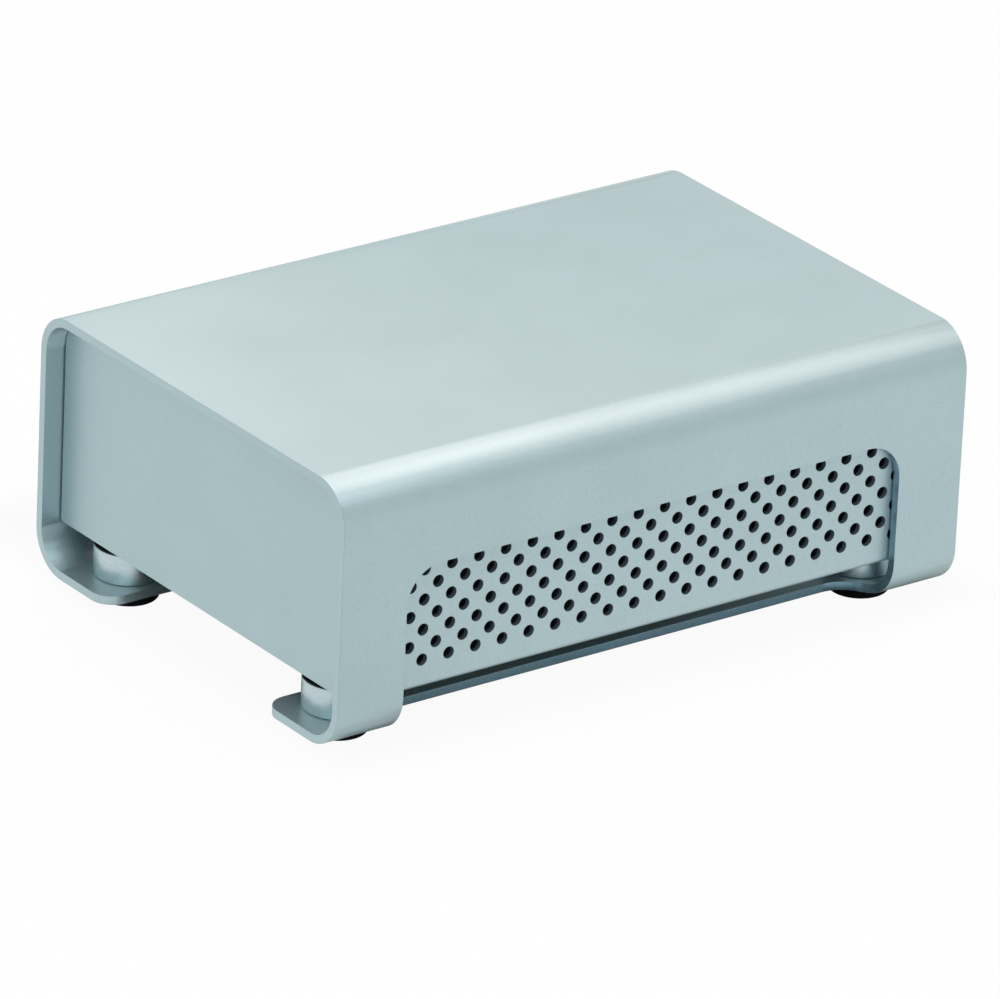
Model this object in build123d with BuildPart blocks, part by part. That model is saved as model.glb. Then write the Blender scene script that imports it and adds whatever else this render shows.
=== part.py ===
from build123d import *
from math import ceil, floor
import os

# Desktop enclosure: a folded aluminium cover wrapped round a separate inner case, which
# hangs in it on four spacers. Millimetres. +X runs along the length from the front end
# panel to the rear one, +Y from the right side to the left, +Z up. The origin is on the
# ground under the middle of the cover.

# Outer cover, one folded sheet
cover_length = 189.0
cover_width = 130.0
cover_height = 70.0  # underside of the flanges to the top face
cover_sheet = 2.3
cover_bend = 11.0  # outside radius of the four long bends
flange_width = 31.0  # wall's outer face to the flange's free edge
flange_corner = 6.0

# Window in each of its two long walls, carried on round the bend into the flange
window_leg = 19.5  # wall left standing at each end
window_top = 45.0  # above the flange's underside
window_corner = 10.0
window_undercut = 15.4  # how far the cut reaches in from the wall's outer face

# Inner case: two perforated sides, a chassis and two end panels
case_clearance = 0.4  # between the sides and the cover
case_underside = 10.85  # above the flange's underside
front_recess = 5.5  # cover's end to the front end panel
rear_recess = 5.5
side_sheet = 1.5
side_fold = 1.8  # outside radius
side_lip = 30.0
side_setback = 2.5  # behind the end panels' inner faces
side_top_margin = 1.0  # below the cover's upper bend
sheet_fit = 0.2  # between the chassis and the sides

# Perforation, a square lattice with a hole in the middle of each cell
hole_diameter = 3.2
hole_spacing = 8.0
first_hole_row = 7.76  # above the case's underside

# Chassis, a U with an upstand at each end
chassis_sheet = 1.5
chassis_fold = 3.0  # outside radius
upstand_height = 40.0
service_hole_inset = 20.0  # chassis edge to the hole
service_hole_height = 24.0
service_hole_corner = 4.0

# End panels and the studs that hold them
panel_sheet = 2.0
panel_clearance = 0.5  # between the end panels and the cover
panel_underside = 11.75  # above the flange's underside
panel_top_corner = 7.5
panel_bottom_corner = 0.8
stud_head_diameter = 5.0
stud_head_depth = 1.2
stud_diameter = 3.0
stud_length = 6.0  # beyond the panel's inner face
stud_inset = 10.0  # chassis edge to the studs
stud_first_row = 10.0  # above the chassis floor's underside
stud_last_row = 6.0  # below the upstand's top
nut_across_flats = 5.5
nut_height = 2.4

# The four corner stacks: foot, flange, spacer, pad, lip, chassis and press nut
foot_from_end = 14.4
foot_from_wall = 20.0
foot_height = 3.8
foot_top_diameter = 16.6
foot_bottom_diameter = 15.6
foot_edge = 0.8
foot_recess_diameter = 7.0
foot_recess_depth = 2.3
spacer_diameter = 17.8
spacer_chamfer = 0.3
pad_thickness = 0.4
pad_diameter = 17.8
screw_diameter = 3.0
screw_clearance = 0.4  # added to the diameter of each plain hole
screw_length = 18.0
screw_head_diameter = 5.6
screw_head_height = 2.0
screw_socket = 2.0  # across the flats
screw_socket_depth = 1.2
press_nut_diameter = 6.3
press_nut_height = 1.5
press_nut_shank = 4.2
thread_clearance = 0.1  # on the diameter

# Standoffs for the circuit board
board_end_inset = 17.0  # end panel's inner face to the standoffs
board_side_inset = 20.3  # chassis edge to the standoffs
standoff_height = 8.0
standoff_across_flats = 5.5
standoff_shank = 4.2
standoff_bore = 2.5
standoff_bore_depth = 6.0

# Levels, from the ground up
flange_z = foot_height
flange_top_z = flange_z + cover_sheet
case_z = flange_z + case_underside
pad_z = case_z - pad_thickness
chassis_z = case_z + side_sheet
floor_z = chassis_z + chassis_sheet
cover_top_z = flange_z + cover_height
side_top_z = cover_top_z - cover_bend - side_top_margin
panel_z = flange_z + panel_underside
panel_top_z = cover_top_z - cover_sheet - panel_clearance

# Distances along and across
half_length = cover_length / 2
half_width = cover_width / 2
case_half_width = half_width - cover_sheet - case_clearance
panel_half_width = half_width - cover_sheet - panel_clearance
front_face_x = -half_length + front_recess
rear_face_x = half_length - rear_recess
case_front_x = front_face_x + panel_sheet
case_rear_x = rear_face_x - panel_sheet
case_middle_x = (case_front_x + case_rear_x) / 2
case_length = case_rear_x - case_front_x
side_length = case_length - 2 * side_setback
side_height = side_top_z - case_z
chassis_half_width = case_half_width - side_fold - sheet_fit
window_length = cover_length - 2 * window_leg
foot_x = half_length - foot_from_end
foot_y = half_width - foot_from_wall
clear_hole = (screw_diameter + screw_clearance) / 2
stud_spread = 2 * (chassis_half_width - stud_inset)
stud_rise = upstand_height - stud_first_row - stud_last_row
stud_middle_z = chassis_z + stud_first_row + stud_rise / 2
service_hole_width = 2 * (chassis_half_width - service_hole_inset)
board_x = case_length / 2 - board_end_inset
board_y = chassis_half_width - board_side_inset

corners = {
    "front_right": (-foot_x, -foot_y),
    "front_left": (-foot_x, foot_y),
    "rear_right": (foot_x, -foot_y),
    "rear_left": (foot_x, foot_y),
}
board_corners = {
    "front_right": (case_middle_x - board_x, -board_y),
    "front_left": (case_middle_x - board_x, board_y),
    "rear_right": (case_middle_x + board_x, -board_y),
    "rear_left": (case_middle_x + board_x, board_y),
}
ends = {"front": (front_face_x, 1), "rear": (rear_face_x, -1)}


def at_level(points, level):
    return [(x, y, level) for x, y in points]


def upright(x, y):
    """The plane through a vertical axis at (x, y), with its own Y pointing up."""
    return Plane((x, y, 0), x_dir=(1, 0, 0), z_dir=(0, -1, 0))


def folded_tube(width, height, bend, sheet):
    """Closed section with four bends, centred, from which a folded sheet is cut."""
    RectangleRounded(width, height, bend)
    RectangleRounded(width - 2 * sheet, height - 2 * sheet, bend - sheet, mode=Mode.SUBTRACT)


def ring(inner, outer, low, high):
    """Half section of a turned ring, from its inner to its outer radius."""
    with Locations((inner, low)):
        Rectangle(outer - inner, high - low, align=(Align.MIN, Align.MIN))


os.makedirs("parts", exist_ok=True)

# Outer cover. Its right half is folded and cut, then mirrored about the middle.
with BuildPart() as outer_cover:
    with BuildSketch(Plane.YZ.offset(-half_length)):
        with Locations((0, flange_z + cover_height / 2)):
            folded_tube(cover_width, cover_height, cover_bend, cover_sheet)
            left_half = (Align.MIN, Align.CENTER)
            Rectangle(half_width, cover_height, align=left_half, mode=Mode.SUBTRACT)
        with Locations((-half_width + flange_width, flange_z)):
            Rectangle(half_width, cover_sheet, align=Align.MIN, mode=Mode.SUBTRACT)
    extrude(amount=cover_length)
    fillet(outer_cover.edges().filter_by(Axis.Z).group_by(Axis.Z)[0], flange_corner)

    with BuildSketch(Plane.XZ.offset(half_width)) as window:
        with Locations((0, flange_z + window_top)):
            Rectangle(window_length, 2 * window_top, align=(Align.CENTER, Align.MAX))
        fillet(window.vertices().group_by(Axis.Y)[-1], window_corner)
    extrude(amount=window_corner - window_undercut, mode=Mode.SUBTRACT)

    with BuildSketch(Plane.XY.offset(flange_z)) as undercut:
        with Locations((0, -half_width)):
            Rectangle(window_length, 2 * window_undercut)
        fillet(undercut.vertices().group_by(Axis.Y)[-1], window_corner)
    extrude(amount=cover_bend, mode=Mode.SUBTRACT)

    with Locations((-foot_x, -foot_y, flange_top_z), (foot_x, -foot_y, flange_top_z)):
        Hole(clear_hole, depth=cover_sheet)
    mirror(about=Plane.XZ)
outer_cover.part.label = "outer_cover"
export_step(outer_cover.part, f"parts/{outer_cover.part.label}.step")

# Perforated sides. Each is folded inwards along the bottom, and the foot screws clamp
# its lip under the chassis.
columns = ceil(window_length / hole_spacing) + 1
rows = floor((window_top - case_underside - first_hole_row) / hole_spacing) + 1
lattice_z = case_z + first_hole_row + (rows - 1) * hole_spacing / 2

with BuildPart() as right_side_panel:
    with BuildSketch(Plane.YZ.offset(case_front_x + side_setback)):
        with Locations((-case_half_width + side_lip, side_top_z)):
            folded_tube(2 * side_lip, 2 * side_height, side_fold, side_sheet)
            above = (Align.CENTER, Align.MIN)
            Rectangle(2 * side_lip, side_height, align=above, mode=Mode.SUBTRACT)
            beyond = (Align.MIN, Align.CENTER)
            Rectangle(side_lip, 2 * side_height, align=beyond, mode=Mode.SUBTRACT)
    extrude(amount=side_length)
    with BuildSketch(Plane.XZ.offset(case_half_width)):
        with Locations((case_middle_x, lattice_z)):
            for across, up in ((columns, rows), (columns - 1, rows - 1)):
                with GridLocations(hole_spacing, hole_spacing, across, up):
                    Circle(hole_diameter / 2)
    extrude(amount=-side_sheet, mode=Mode.SUBTRACT)
    with Locations((-foot_x, -foot_y, chassis_z), (foot_x, -foot_y, chassis_z)):
        Hole(clear_hole, depth=side_sheet)
right_side_panel.part.label = "right_side_panel"
export_step(right_side_panel.part, f"parts/{right_side_panel.part.label}.step")

with BuildPart() as left_side_panel:
    mirror(right_side_panel.part, about=Plane.XZ)
left_side_panel.part.label = "left_side_panel"
export_step(left_side_panel.part, f"parts/{left_side_panel.part.label}.step")

# Chassis. The floor carries the board and the press nuts, and the upstands the panels.
with BuildPart() as chassis:
    with BuildSketch(Plane.XZ.offset(-chassis_half_width)):
        with Locations((case_middle_x, chassis_z + upstand_height)):
            folded_tube(case_length, 2 * upstand_height, chassis_fold, chassis_sheet)
            above = (Align.CENTER, Align.MIN)
            Rectangle(case_length, upstand_height, align=above, mode=Mode.SUBTRACT)
    extrude(amount=2 * chassis_half_width)
    with BuildSketch(Plane.YZ.offset(case_front_x)):
        with Locations((0, stud_middle_z)):
            RectangleRounded(
                service_hole_width, service_hole_height, service_hole_corner
            )
            with GridLocations(stud_spread, stud_rise, 2, 2):
                Circle(clear_hole)
    extrude(amount=case_length, mode=Mode.SUBTRACT)
    with Locations(*at_level(corners.values(), floor_z)):
        Hole(press_nut_shank / 2, depth=chassis_sheet)
    with Locations(*at_level(board_corners.values(), floor_z)):
        Hole(standoff_shank / 2, depth=chassis_sheet)
chassis.part.label = "chassis"
export_step(chassis.part, f"parts/{chassis.part.label}.step")

# End panels, with blind pockets so that no fastener shows outside, and their studs
for end, (face_x, inwards) in ends.items():
    outer_face = Plane.YZ.offset(face_x)
    inner_face = Plane.YZ.offset(face_x + inwards * panel_sheet)
    stud_centre = (0, stud_middle_z)

    with BuildPart() as end_panel:
        with BuildSketch(outer_face) as outline:
            with Locations((0, panel_z)):
                above = (Align.CENTER, Align.MIN)
                Rectangle(2 * panel_half_width, panel_top_z - panel_z, align=above)
            fillet(outline.vertices().group_by(Axis.Y)[-1], panel_top_corner)
            fillet(outline.vertices().group_by(Axis.Y)[0], panel_bottom_corner)
        extrude(amount=inwards * panel_sheet)
        with BuildSketch(inner_face):
            with Locations(stud_centre):
                with GridLocations(stud_spread, stud_rise, 2, 2):
                    Circle(stud_head_diameter / 2)
        extrude(amount=-inwards * stud_head_depth, mode=Mode.SUBTRACT)
    end_panel.part.label = f"{end}_end_panel"
    export_step(end_panel.part, f"parts/{end_panel.part.label}.step")

    with BuildPart() as studs:
        with BuildSketch(inner_face):
            with Locations(stud_centre):
                with GridLocations(stud_spread, stud_rise, 2, 2):
                    Circle(stud_head_diameter / 2)
        extrude(amount=-inwards * stud_head_depth)
        with BuildSketch(inner_face):
            with Locations(stud_centre):
                with GridLocations(stud_spread, stud_rise, 2, 2):
                    Circle(stud_diameter / 2)
        extrude(amount=inwards * stud_length)
    studs.part.label = f"{end}_panel_studs"
    export_step(studs.part, f"parts/{studs.part.label}.step")

    with BuildPart() as nuts:
        with BuildSketch(inner_face.offset(inwards * chassis_sheet)):
            with Locations(stud_centre):
                with GridLocations(stud_spread, stud_rise, 2, 2):
                    RegularPolygon(nut_across_flats / 2, 6, major_radius=False)
                    Circle((stud_diameter + thread_clearance) / 2, mode=Mode.SUBTRACT)
        extrude(amount=inwards * nut_height)
    nuts.part.label = f"{end}_panel_nuts"
    export_step(nuts.part, f"parts/{nuts.part.label}.step")

# Corner stacks, turned parts on one vertical axis at each corner
seat_z = foot_recess_depth
for corner, (x, y) in corners.items():
    axis = Axis((x, y, 0), (0, 0, 1))

    with BuildPart() as rubber_foot:
        with BuildSketch(upright(x, y)) as section:
            with BuildLine():
                Polyline(
                    (clear_hole, flange_z),
                    (clear_hole, foot_recess_depth),
                    (foot_recess_diameter / 2, foot_recess_depth),
                    (foot_recess_diameter / 2, 0),
                    (foot_bottom_diameter / 2, 0),
                    (foot_top_diameter / 2, flange_z),
                    close=True,
                )
            make_face()
            rim = section.vertices().group_by(Axis.Y)[0].sort_by(Axis.X)[-1]
            fillet(rim, foot_edge)
        revolve(axis=axis)
    rubber_foot.part.label = f"rubber_foot_{corner}"
    export_step(rubber_foot.part, f"parts/{rubber_foot.part.label}.step")

    with BuildPart() as spacer:
        with BuildSketch(upright(x, y)) as section:
            ring(clear_hole, spacer_diameter / 2, flange_top_z, pad_z)
            chamfer(section.vertices().group_by(Axis.X)[-1], spacer_chamfer)
        revolve(axis=axis)
    spacer.part.label = f"spacer_{corner}"
    export_step(spacer.part, f"parts/{spacer.part.label}.step")

    with BuildPart() as spacer_pad:
        with BuildSketch(upright(x, y)):
            ring(clear_hole, pad_diameter / 2, pad_z, case_z)
        revolve(axis=axis)
    spacer_pad.part.label = f"spacer_pad_{corner}"
    export_step(spacer_pad.part, f"parts/{spacer_pad.part.label}.step")

    with BuildPart() as foot_screw:
        with BuildSketch(upright(x, y)):
            ring(0, screw_head_diameter / 2, seat_z - screw_head_height, seat_z)
            ring(0, screw_diameter / 2, seat_z, seat_z + screw_length)
        revolve(axis=axis)
        with BuildSketch(Plane((x, y, seat_z - screw_head_height))):
            RegularPolygon(screw_socket / 2, 6, major_radius=False)
        extrude(amount=screw_socket_depth, mode=Mode.SUBTRACT)
    foot_screw.part.label = f"foot_screw_{corner}"
    export_step(foot_screw.part, f"parts/{foot_screw.part.label}.step")

    with BuildPart() as press_nut:
        bore = (screw_diameter + thread_clearance) / 2
        with BuildSketch(upright(x, y)):
            ring(bore, press_nut_shank / 2, chassis_z, floor_z)
            ring(bore, press_nut_diameter / 2, floor_z, floor_z + press_nut_height)
        revolve(axis=axis)
    press_nut.part.label = f"press_nut_{corner}"
    export_step(press_nut.part, f"parts/{press_nut.part.label}.step")

# Board standoffs, pressed into the chassis floor
for corner, (x, y) in board_corners.items():
    with BuildPart() as standoff:
        with BuildSketch(Plane((x, y, chassis_z))):
            Circle(standoff_shank / 2)
        extrude(amount=chassis_sheet)
        with BuildSketch(Plane((x, y, floor_z))):
            RegularPolygon(standoff_across_flats / 2, 6, major_radius=False)
        extrude(amount=standoff_height)
        with Locations((x, y, floor_z + standoff_height)):
            Hole(standoff_bore / 2, depth=standoff_bore_depth)
    standoff.part.label = f"board_standoff_{corner}"
    export_step(standoff.part, f"parts/{standoff.part.label}.step")
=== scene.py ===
import math

import bpy
from mathutils import Matrix, Vector


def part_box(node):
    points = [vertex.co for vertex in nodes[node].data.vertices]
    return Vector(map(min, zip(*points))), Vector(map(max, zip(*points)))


# The camera, fitted to the object's edges and holes. Degrees and metres.
VIEW_AZIMUTH = -37.076
VIEW_ELEVATION = 24.201
VIEW_ROLL = 2.644
VIEW_DISTANCE = 2.698814
VIEW_RIGHT = 0.000173  # the cover's middle, to the right of the picture's middle
VIEW_UP = 0.012644  # and above it
FOCAL_LENGTH = 391.108  # millimetres, as is the sensor
SENSOR_WIDTH = 36.0
CLIP_NEAR = 0.1
CLIP_FAR = 100

# Rounding of the edges, in metres
MM = 0.001
ARRIS = 0.22 * MM  # the cover's cut edges
SMALL_ARRIS = 0.12 * MM  # the spacers
SHARP_ANGLE = math.radians(32)
WELD_DISTANCE = 0.001 * MM
BEVEL_SEGMENTS = 2

# Where faces with a finish of their own are, in metres
WINDOW_HALF = 75.1 * MM  # the window's half length
WINDOW_TOP = 48.8 * MM
STRIP_EDGE = 49.6 * MM  # the cut face of the strip below the window
SIDE_FACE = 62.3 * MM  # the sides' outer faces
FOLD_TOP = 16.5 * MM
FACE_MATCH = 0.1 * MM
FACES_AXIS = 0.5  # a normal's share along an axis, above which the face faces that way
SLANTED = 0.05
FLAT = 0.999

# Colours, linear
SILVER_BLUE = (0.436, 0.564, 0.588)
# Painted shade: the window's cut faces are darker than the sheet, standing in for the shade in the
# window's recess; their rougher grain is real.
CUT_EDGE_SHADE = (0.220, 0.370, 0.445)
# Painted shade: the cover's rounded edges are darker than the sheet, standing in for the dark line of
# shade and dark reflection along them.
ARRIS_SHADE_COLOUR = (0.33, 0.43, 0.46)
BARE_METAL = (0.52, 0.63, 0.66)
# Painted shade: this black also covers the sides' bores and inner faces, so the holes through the sides
# read dark.
BLACK_PAINT_AND_SHADE = (0.075, 0.100, 0.122)
ZINC = (0.55, 0.56, 0.57)
BLACK_RUBBER = (0.0035, 0.0050, 0.0060)

# Finishes. Sizes of the grains are in metres, and each pair is a range.
SHEET_METALLIC = 0.8
SHEET_GRAIN = 0.45 * MM
SHEET_CLOUDS = 26 * MM
SHEET_GRAIN_SHARE = 0.7
SHEET_BUMP = (0.12, 0.02 * MM)  # strength and height, as in the other bumps
CASE_GREY = (0.93, 1.07)
CASE_ROUGHNESS = (0.40, 0.44)
CUT_GREY = (0.75, 1.2)
CUT_ROUGHNESS = (0.42, 0.5)
ARRIS_GREY = (0.9, 1.1)
SPACER_METALLIC = 0.95
SPACER_BLOTCHES = 0.8 * MM
SPACER_RINGS = 0.35 * MM
SPACER_RING_STRETCH = (0.12, 0.12, 1.0)
SPACER_BLOTCH_SHARE = 0.7
SPACER_GREY = (0.92, 1.06)
SPACER_ROUGHNESS = (0.28, 0.38)
SPACER_CONTRAST = (0.35, 0.65)
SPACER_BUMP = (0.15, 0.03 * MM)
PAINT_GRAIN = 0.5 * MM
PAINT_GREY = (0.8, 1.3)
PAINT_ROUGHNESS = (0.55, 0.70)
PAINT_SPECULAR = 0.3
PAINT_BUMP = (0.3, 0.03 * MM)
PLATE_GRAIN = 0.5 * MM
PLATE_GREY = (0.86, 1.08)
PLATE_ROUGHNESS = (0.30, 0.42)
PLATE_BUMP = (0.15, 0.02 * MM)
RUBBER_GRAIN = 0.4 * MM
RUBBER_GREY = (0.7, 1.5)
RUBBER_ROUGHNESS = (0.62, 0.80)
RUBBER_SPECULAR = 0.2
RUBBER_BUMP = (0.3, 0.04 * MM)

# Floor and room
FLOOR_HALF = 6.0  # metres
PAPER_GREY = 0.86
PAPER_ROUGHNESS = 0.9
PAPER_SPECULAR = 0.1
SHADOW_PATCH_GREY = 0.10  # painted shadow: a dark patch on the floor under the object keeps the spaces below it dark
SHADOW_PATCH_MIDDLE_X = 7 * MM
SHADOW_PATCH_MIDDLE_Y = 22 * MM
SHADOW_PATCH_HALF_LENGTH = 97 * MM
SHADOW_PATCH_HALF_WIDTH = 86 * MM
SHADOW_PATCH_FADE = 0.12
FLOOR_WHITE_SEEN = 0.95
FLOOR_WHITE_MIRRORED = 0.99
ROOM_COLOUR = (0.91, 1.0, 1.01, 1)
ROOM_BRIGHTNESS = 0.64
ROOM_WHITE_MIRRORED = 0.44
WHITE = (1, 1, 1, 1)

# Lamps, in metres and watts
WARM = (1.0, 0.75, 0.70)
COOL = (0.91, 1.0, 1.01)
OBJECT_MIDDLE = (0, 0, 0.04)
NEAR_BEND = (0, -0.06, 0.07)
NEAR_CORNER = (-0.08, -0.03, 0.07)
FAR_CORNER = (0.09, -0.06, 0.06)
LIGHTS = (  # name, place, aim, size, power, colour
    ("overhead", (0.88, 0.18, 1.38), NEAR_BEND, 1.6, 4.9, WARM),
    ("overhead_near", (0.88, -0.25, 1.39), NEAR_BEND, 1.6, 1.7, WARM),
    ("zenith", (0, 0, 1.24), OBJECT_MIDDLE, 1.0, 3.7, WARM),
    ("key", (-0.52, -0.52, 0.98), OBJECT_MIDDLE, 0.8, 3.0, COOL),
    ("corner_glow", (-0.05, 0.20, 0.28), NEAR_CORNER, 0.25, 0.118, WARM),
    ("near_glow", (0.07, 0.14, 0.29), NEAR_CORNER, 0.2, 0.055, WARM),
    ("right_glow", (0.27, 0.02, 0.29), FAR_CORNER, 0.2, 0.044, WARM),
)

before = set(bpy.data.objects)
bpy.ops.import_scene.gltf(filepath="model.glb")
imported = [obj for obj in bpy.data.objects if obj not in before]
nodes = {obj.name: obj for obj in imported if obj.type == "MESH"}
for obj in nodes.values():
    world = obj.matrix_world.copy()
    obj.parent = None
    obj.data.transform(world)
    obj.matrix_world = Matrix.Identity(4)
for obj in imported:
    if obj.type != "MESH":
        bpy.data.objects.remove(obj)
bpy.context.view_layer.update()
scene = bpy.context.scene


def make_camera():
    azimuth = math.radians(VIEW_AZIMUTH)
    elevation = math.radians(VIEW_ELEVATION)
    roll = math.radians(VIEW_ROLL)
    back = Vector((
        math.sin(azimuth) * math.cos(elevation),
        -math.cos(azimuth) * math.cos(elevation),
        math.sin(elevation),
    ))
    level_right = Vector((0, 0, 1)).cross(back).normalized()
    level_up = back.cross(level_right)
    right = math.cos(roll) * level_right + math.sin(roll) * level_up
    up = math.cos(roll) * level_up - math.sin(roll) * level_right
    cover_low, cover_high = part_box("outer_cover")
    middle = (cover_low + cover_high) / 2
    place = middle + VIEW_DISTANCE * back - VIEW_UP * up - VIEW_RIGHT * right

    data = bpy.data.cameras.new("camera")
    data.lens = FOCAL_LENGTH
    data.sensor_width = SENSOR_WIDTH
    data.clip_start = CLIP_NEAR
    data.clip_end = CLIP_FAR
    camera = bpy.data.objects.new("camera", data)
    turn = Matrix((right, up, back)).transposed().to_4x4()
    camera.matrix_world = Matrix.Translation(place) @ turn
    scene.collection.objects.link(camera)
    scene.camera = camera


class Shader:
    """A material's node tree, with short names for the nodes that it needs."""

    def __init__(self, name):
        self.material = bpy.data.materials.new(name)
        self.material.use_nodes = True
        self.nodes = self.material.node_tree.nodes
        self.links = self.material.node_tree.links
        self.surface = self.nodes["Principled BSDF"]
        self.place = self.nodes.new("ShaderNodeTexCoord").outputs["Object"]

    def set(self, **values):
        for name, value in values.items():
            self.surface.inputs[name.replace("_", " ")].default_value = value

    def stretched(self, scale):
        """Object coordinates times a scale for each axis."""
        node = self.nodes.new("ShaderNodeMapping")
        node.inputs["Scale"].default_value = scale
        self.links.new(self.place, node.inputs["Vector"])
        return node.outputs["Vector"]

    def noise(self, size, detail=3.0, rough=0.55, place=None):
        """Noise whose grains are about size metres across, from 0 to 1."""
        node = self.nodes.new("ShaderNodeTexNoise")
        node.inputs["Scale"].default_value = 1 / size
        node.inputs["Detail"].default_value = detail
        node.inputs["Roughness"].default_value = rough
        self.links.new(place or self.place, node.inputs["Vector"])
        return node.outputs["Fac"]

    def spread(self, value, result, contrast=(0.3, 0.7)):
        """Maps a value from the range of contrast to the range of the result."""
        node = self.nodes.new("ShaderNodeMapRange")
        node.inputs["From Min"].default_value = contrast[0]
        node.inputs["From Max"].default_value = contrast[1]
        node.inputs["To Min"].default_value = result[0]
        node.inputs["To Max"].default_value = result[1]
        self.links.new(value, node.inputs["Value"])
        return node.outputs["Result"]

    def math(self, operation, first, second):
        node = self.nodes.new("ShaderNodeMath")
        node.operation = operation
        for socket, value in zip(node.inputs, (first, second)):
            if isinstance(value, (int, float)):
                socket.default_value = value
            else:
                self.links.new(value, socket)
        return node.outputs["Value"]

    def blend(self, first, second, share):
        """The first value's share of a sum, and the second's rest."""
        return self.math(
            "ADD",
            self.math("MULTIPLY", first, share),
            self.math("MULTIPLY", second, 1 - share),
        )

    def tint(self, colour, factor):
        """A colour made lighter or darker by a factor that varies over the surface."""
        node = self.nodes.new("ShaderNodeVectorMath")
        node.operation = "SCALE"
        node.inputs[0].default_value = colour
        self.links.new(factor, node.inputs["Scale"])
        return node.outputs["Vector"]

    def bump(self, height, strength, distance):
        node = self.nodes.new("ShaderNodeBump")
        node.inputs["Strength"].default_value = strength
        node.inputs["Distance"].default_value = distance
        self.links.new(height, node.inputs["Height"])
        self.links.new(node.outputs["Normal"], self.surface.inputs["Normal"])

    def feed(self, name, value):
        self.links.new(value, self.surface.inputs[name])


def satin_metal(name, colour, grey, roughness):
    """Blasted and anodised sheet: fine grain, and faint wide clouds."""
    shader = Shader(name)
    grain = shader.noise(SHEET_GRAIN, detail=2.0)
    clouds = shader.noise(SHEET_CLOUDS, detail=2.0)
    both = shader.blend(grain, clouds, SHEET_GRAIN_SHARE)
    shader.feed("Base Color", shader.tint(colour, shader.spread(both, grey)))
    shader.feed("Roughness", shader.spread(both, roughness))
    shader.set(Metallic=SHEET_METALLIC)
    shader.bump(grain, *SHEET_BUMP)
    return shader.material


def bare_metal():
    """Spacers turned from bar and left bare: fine blotches, and rings from turning."""
    shader = Shader("bare_metal")
    blotches = shader.noise(SPACER_BLOTCHES, detail=3.0, rough=0.6)
    rings = shader.noise(SPACER_RINGS, detail=2.0, place=shader.stretched(SPACER_RING_STRETCH))
    both = shader.blend(blotches, rings, SPACER_BLOTCH_SHARE)
    grey = shader.spread(both, SPACER_GREY, SPACER_CONTRAST)
    shader.feed("Base Color", shader.tint(BARE_METAL, grey))
    shader.feed("Roughness", shader.spread(both, SPACER_ROUGHNESS, SPACER_CONTRAST))
    shader.set(Metallic=SPACER_METALLIC)
    shader.bump(both, *SPACER_BUMP)
    return shader.material


def black_paint_and_shade():
    """Matt black powder coat on the hidden chassis; the same black on the sides' bores and inner faces is
    painted shade, and both keep the holes dark.
    """
    shader = Shader("chassis_finish")
    grain = shader.noise(PAINT_GRAIN)
    shader.feed("Base Color", shader.tint(BLACK_PAINT_AND_SHADE, shader.spread(grain, PAINT_GREY)))
    shader.feed("Roughness", shader.spread(grain, PAINT_ROUGHNESS))
    shader.set(Specular_IOR_Level=PAINT_SPECULAR)
    shader.bump(grain, *PAINT_BUMP)
    return shader.material


def plated_metal(name, colour):
    """Plated steel with a fine grain."""
    shader = Shader(name)
    grain = shader.noise(PLATE_GRAIN)
    shader.feed("Base Color", shader.tint(colour, shader.spread(grain, PLATE_GREY)))
    shader.feed("Roughness", shader.spread(grain, PLATE_ROUGHNESS))
    shader.set(Metallic=1.0)
    shader.bump(grain, *PLATE_BUMP)
    return shader.material


def rubber(name):
    shader = Shader(name)
    grain = shader.noise(RUBBER_GRAIN, detail=4.0, rough=0.7)
    shader.feed("Base Color", shader.tint(BLACK_RUBBER, shader.spread(grain, RUBBER_GREY)))
    shader.feed("Roughness", shader.spread(grain, RUBBER_ROUGHNESS))
    shader.set(Specular_IOR_Level=RUBBER_SPECULAR)
    shader.bump(grain, *RUBBER_BUMP)
    return shader.material


def dress(name, *materials):
    """Gives a CAD node its materials, the first one for its faces."""
    slots = nodes[name].data.materials
    slots.clear()
    for material in materials:
        slots.append(material)


def mark_cuts(name, material_index):
    """Gives the faces that the window's cut leaves in the cover a material of their own: a real rough cut
    finish, painted darker as painted shade for the window's recess.
    """
    mesh = nodes[name].data
    for polygon in mesh.polygons:
        x, y, z = polygon.center
        normal = polygon.normal
        if abs(x) >= WINDOW_HALF:
            continue
        end = abs(normal.x) > SLANTED and abs(normal.z) < FLAT
        top = abs(z - WINDOW_TOP) < FACE_MATCH and normal.z < -FACES_AXIS
        strip = abs(abs(y) - STRIP_EDGE) < FACE_MATCH and abs(normal.y) > FACES_AXIS
        if end or top or strip:
            polygon.material_index = material_index


def blacken_inside(name, material_index):
    """Gives a side's bores and inner faces a material of their own, above its fold: black, which is
    painted shade that keeps the holes dark.
    """
    mesh = nodes[name].data
    for polygon in mesh.polygons:
        centre = polygon.center
        if centre.z > FOLD_TOP and abs(abs(centre.y) - SIDE_FACE) > FACE_MATCH:
            polygon.material_index = material_index


def brighten_underside(name, material_index):
    """Gives the case's underside, which faces the floor, a material of its own."""
    mesh = nodes[name].data
    for polygon in mesh.polygons:
        if polygon.center.z < FOLD_TOP and polygon.normal.z < -FACES_AXIS:
            polygon.material_index = material_index


def round_edges(name, width, material_index=-1):
    """Rounds the sharp edges of a CAD node by a small radius."""
    node = nodes[name]
    weld = node.modifiers.new("weld", "WELD")
    weld.merge_threshold = WELD_DISTANCE
    bevel = node.modifiers.new("round_edges", "BEVEL")
    bevel.width = width
    bevel.segments = BEVEL_SEGMENTS
    bevel.limit_method = "ANGLE"
    bevel.angle_limit = SHARP_ANGLE
    bevel.harden_normals = True
    bevel.use_clamp_overlap = True
    bevel.material = material_index


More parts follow.
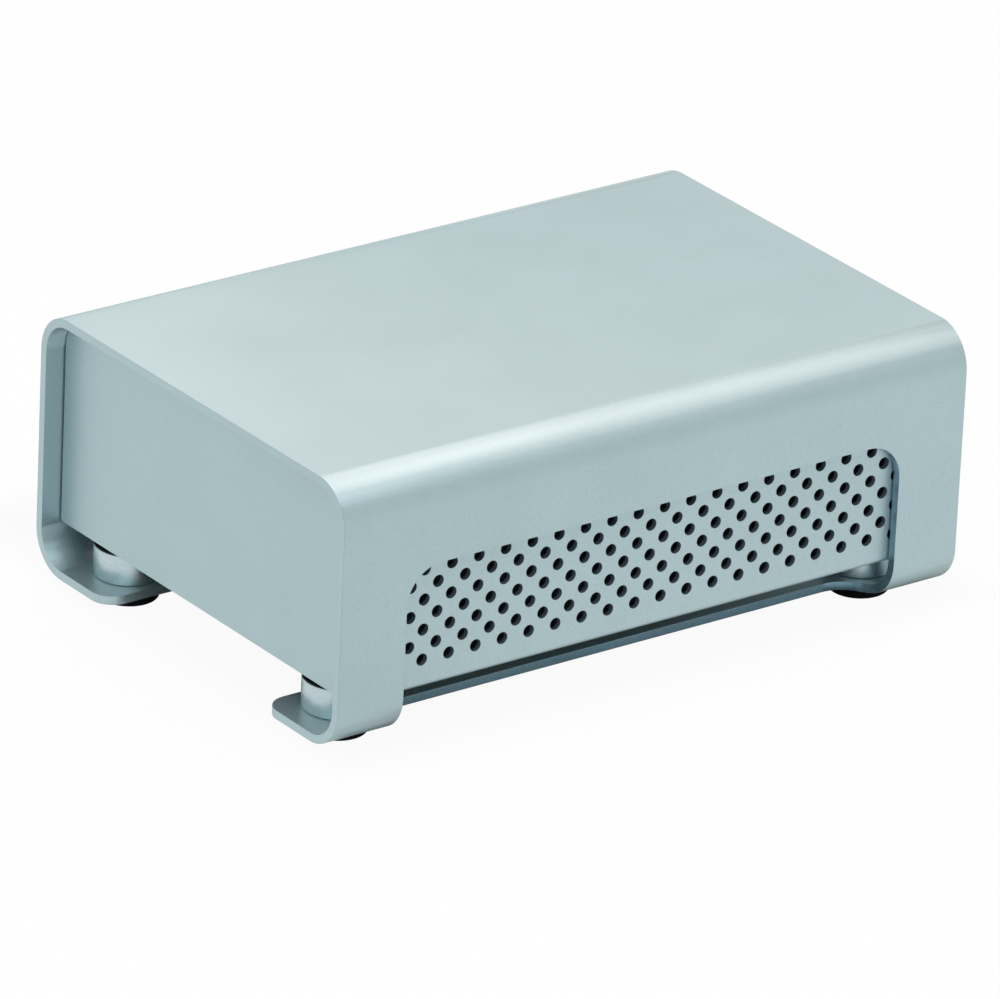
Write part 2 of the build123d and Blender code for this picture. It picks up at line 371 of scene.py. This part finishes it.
def outside_painted_shadow(tree):
    """0 on a painted shadow under the middle of the object, and 1 on the floor round it."""
    place = tree.nodes.new("ShaderNodeTexCoord").outputs["Object"]
    scaled = tree.nodes.new("ShaderNodeVectorMath")
    scaled.operation = "MULTIPLY_ADD"
    scaled.inputs[1].default_value = (1 / SHADOW_PATCH_HALF_LENGTH, 1 / SHADOW_PATCH_HALF_WIDTH, 0)
    scaled.inputs[2].default_value = (-SHADOW_PATCH_MIDDLE_X / SHADOW_PATCH_HALF_LENGTH, -SHADOW_PATCH_MIDDLE_Y / SHADOW_PATCH_HALF_WIDTH, 0)
    size = tree.nodes.new("ShaderNodeVectorMath")
    size.operation = "ABSOLUTE"
    parts = tree.nodes.new("ShaderNodeSeparateXYZ")
    larger = tree.nodes.new("ShaderNodeMath")
    larger.operation = "MAXIMUM"
    edge = tree.nodes.new("ShaderNodeMapRange")
    edge.interpolation_type = "SMOOTHSTEP"
    edge.inputs["From Min"].default_value = 1 - SHADOW_PATCH_FADE
    edge.inputs["From Max"].default_value = 1 + SHADOW_PATCH_FADE
    tree.links.new(place, scaled.inputs[0])
    tree.links.new(scaled.outputs["Vector"], size.inputs[0])
    tree.links.new(size.outputs["Vector"], parts.inputs["Vector"])
    tree.links.new(parts.outputs["X"], larger.inputs[0])
    tree.links.new(parts.outputs["Y"], larger.inputs[1])
    tree.links.new(larger.outputs["Value"], edge.inputs["Value"])
    return edge.outputs["Result"]


def whiteness(tree, open_floor):
    """How white metal sees the floor: not at all on the painted shadow."""
    node = tree.nodes.new("ShaderNodeMath")
    node.operation = "MULTIPLY"
    node.label = "whiteness"
    node.inputs[1].default_value = FLOOR_WHITE_MIRRORED
    tree.links.new(open_floor, node.inputs[0])
    return node.outputs["Value"]


def make_floor():
    """A wide white floor that keeps the object's soft shadow."""
    corners = [(x * FLOOR_HALF, y * FLOOR_HALF, 0) for x, y in ((-1, -1), (1, -1), (1, 1), (-1, 1))]
    mesh = bpy.data.meshes.new("floor")
    mesh.from_pydata(corners, [], [(0, 1, 2, 3)])
    floor = bpy.data.objects.new("floor", mesh)
    scene.collection.objects.link(floor)

    material = bpy.data.materials.new("floor_paper")
    material.use_nodes = True
    tree = material.node_tree
    paper = tree.nodes["Principled BSDF"]
    open_floor = outside_painted_shadow(tree)
    # Painted shadow: the paper is dark grey on the patch under the object.
    shade = tree.nodes.new("ShaderNodeMapRange")
    shade.inputs["To Min"].default_value = SHADOW_PATCH_GREY
    shade.inputs["To Max"].default_value = PAPER_GREY
    tree.links.new(open_floor, shade.inputs["Value"])
    tree.links.new(shade.outputs["Result"], paper.inputs["Base Color"])
    paper.inputs["Roughness"].default_value = PAPER_ROUGHNESS
    paper.inputs["Specular IOR Level"].default_value = PAPER_SPECULAR
    white = tree.nodes.new("ShaderNodeEmission")
    white.inputs["Color"].default_value = WHITE
    white.inputs["Strength"].default_value = 1.0
    path = tree.nodes.new("ShaderNodeLightPath")
    seen = tree.nodes.new("ShaderNodeMath")
    seen.operation = "MULTIPLY_ADD"
    seen.inputs[1].default_value = FLOOR_WHITE_SEEN
    mirrored = tree.nodes.new("ShaderNodeMath")
    mirrored.operation = "MULTIPLY"
    tree.links.new(whiteness(tree, open_floor), mirrored.inputs[1])
    mix = tree.nodes.new("ShaderNodeMixShader")
    tree.links.new(path.outputs["Is Camera Ray"], seen.inputs[0])
    tree.links.new(path.outputs["Is Glossy Ray"], mirrored.inputs[0])
    tree.links.new(mirrored.outputs["Value"], seen.inputs[2])
    tree.links.new(seen.outputs["Value"], mix.inputs["Fac"])
    tree.links.new(paper.outputs["BSDF"], mix.inputs[1])
    tree.links.new(white.outputs["Emission"], mix.inputs[2])
    tree.links.new(mix.outputs["Shader"], tree.nodes["Material Output"].inputs["Surface"])
    mesh.materials.append(material)


def make_world():
    """An even pale room: white to the camera, and to metal paler than the light it gives."""
    world = bpy.data.worlds.new("studio")
    scene.world = world
    world.use_nodes = True
    tree = world.node_tree
    room = tree.nodes["Background"]
    room.inputs["Color"].default_value = ROOM_COLOUR
    room.inputs["Strength"].default_value = ROOM_BRIGHTNESS
    white = tree.nodes.new("ShaderNodeBackground")
    white.inputs["Color"].default_value = WHITE
    path = tree.nodes.new("ShaderNodeLightPath")
    mix = tree.nodes.new("ShaderNodeMixShader")
    seen = tree.nodes.new("ShaderNodeMath")
    seen.operation = "MULTIPLY_ADD"
    seen.inputs[1].default_value = ROOM_WHITE_MIRRORED
    tree.links.new(path.outputs["Is Glossy Ray"], seen.inputs[0])
    tree.links.new(path.outputs["Is Camera Ray"], seen.inputs[2])
    tree.links.new(seen.outputs["Value"], mix.inputs["Fac"])
    tree.links.new(room.outputs["Background"], mix.inputs[1])
    tree.links.new(white.outputs["Background"], mix.inputs[2])
    tree.links.new(mix.outputs["Shader"], tree.nodes["World Output"].inputs["Surface"])


def softbox(name, place, aim, size, power, colour):
    data = bpy.data.lights.new(name, "AREA")
    data.size = size
    data.energy = power
    data.color = colour
    lamp = bpy.data.objects.new(name, data)
    lamp.location = place
    lamp.rotation_mode = "QUATERNION"
    lamp.rotation_quaternion = (Vector(aim) - Vector(place)).to_track_quat("-Z", "Y")
    lamp.visible_camera = False
    scene.collection.objects.link(lamp)


make_camera()
make_floor()
make_world()
for light in LIGHTS:
    softbox(*light)

case_finish = satin_metal("case_finish", SILVER_BLUE, CASE_GREY, CASE_ROUGHNESS)
shaded_cut_edge = satin_metal("shaded_cut_edge", CUT_EDGE_SHADE, CUT_GREY, CUT_ROUGHNESS)
arris_shade = satin_metal("arris_shade", ARRIS_SHADE_COLOUR, ARRIS_GREY, CUT_ROUGHNESS)
spacer_metal = bare_metal()
inside_black_and_shade = black_paint_and_shade()
zinc_plate = plated_metal("fastener_steel", ZINC)
pad_rubber = rubber("pad_rubber")
foot_rubber = rubber("foot_rubber")

# The whole numbers below are places in the list of materials, counted from 0
for sheet in ("outer_cover", "front_end_panel", "rear_end_panel"):
    dress(sheet, case_finish, shaded_cut_edge, arris_shade)
dress("chassis", inside_black_and_shade, case_finish)
brighten_underside("chassis", 1)
# The window's cut faces take the darker colour, which is painted shade.
mark_cuts("outer_cover", 1)
# The bevel's faces take the darker arris colour, which is painted shade.
round_edges("outer_cover", ARRIS, 2)
# The sides' bores and inner faces get the black, which is painted shade in the holes.
for side in ("right_side_panel", "left_side_panel"):
    dress(side, case_finish, inside_black_and_shade)
    blacken_inside(side, 1)
for name in nodes:
    if name.startswith("spacer_pad_"):
        dress(name, pad_rubber)
    elif name.startswith("spacer_"):
        dress(name, spacer_metal)
        round_edges(name, SMALL_ARRIS)
    elif name.startswith("rubber_foot_"):
        dress(name, foot_rubber)
    elif name.startswith(("foot_screw_", "press_nut_", "board_standoff_", "front_panel_", "rear_panel_")):
        dress(name, zinc_plate)

scene.view_settings.view_transform = "Standard"
